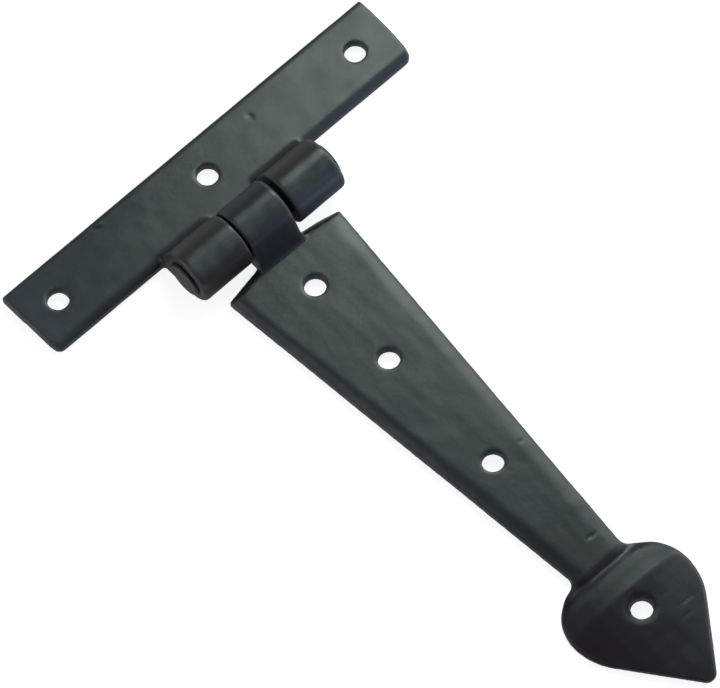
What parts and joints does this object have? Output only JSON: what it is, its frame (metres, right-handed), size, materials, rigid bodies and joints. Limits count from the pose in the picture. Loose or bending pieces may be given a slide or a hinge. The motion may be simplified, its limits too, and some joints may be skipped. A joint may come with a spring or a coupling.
{
  "type": "tee hinge",
  "caption": "Hand-forged black T-hinge for a gate: a cross plate and a tapered strap with a spade-shaped head, joined by rolled knuckles on a peened pin.",
  "frame": {"origin": "centre of the frame plate's middle screw hole, at its back face", "axes": "+X along the strap from the frame plate to the tip, +Y along the hinge pin, +Z out of the front faces, away from the gate and post"},
  "size_m": [0.1792, 0.1106, 0.0142],
  "materials": {
    "black_iron": "satin black paint over hammered, forged iron",
    "pin_steel": "satin black paint over a peened steel pin, thin where it turns"
  },
  "bodies": {
    "frame": {"frame_plate": "black_iron", "hinge_pin": "pin_steel"},
    "leaf": {"strap": "black_iron"}
  },
  "joints": [
    {"name": "strap_swing", "type": "hinge", "parent": "frame", "child": "leaf", "pos_m": [0.01778, -0.00075, 0.00708], "axis": [0, -1, 0], "range_deg": [-90, 180]}
  ]
}
